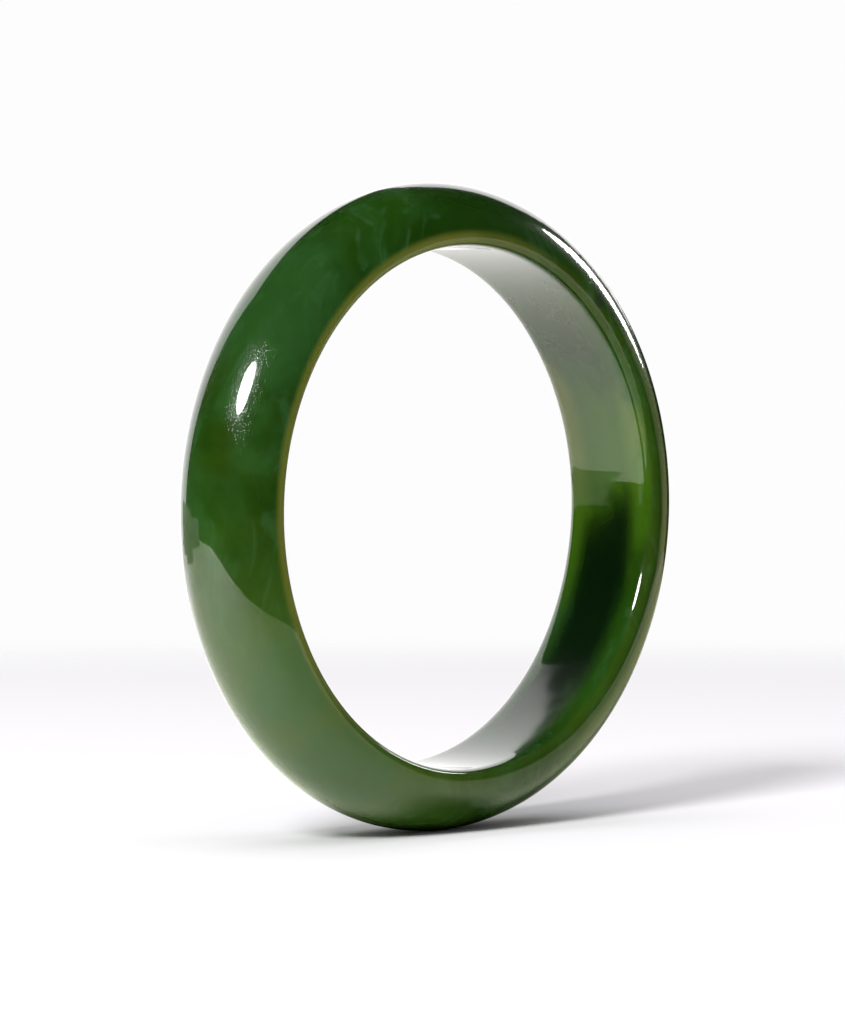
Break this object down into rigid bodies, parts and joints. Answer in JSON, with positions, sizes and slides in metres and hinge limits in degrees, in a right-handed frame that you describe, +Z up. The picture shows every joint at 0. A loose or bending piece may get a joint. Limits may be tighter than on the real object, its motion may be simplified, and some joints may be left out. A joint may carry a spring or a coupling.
{
  "type": "bangle bracelet",
  "caption": "Closed polished stone bangle with a D-shaped section: plain cylindrical inside, domed outside and softly rounded edges.",
  "frame": {"origin": "centre of the ring: on the bore's axis, midway between the two sides", "axes": "+Y along the bore, out of the back side; +Z up as the bangle stands on its crown; +X to the right seen from the front"},
  "size_m": [0.0724, 0.0134, 0.0724],
  "materials": {
    "jade": "deep green nephrite jade, highly polished, slightly translucent, with faint paler clouds"
  },
  "bodies": {
    "root": {"jade_ring": "jade"}
  },
  "joints": []
}
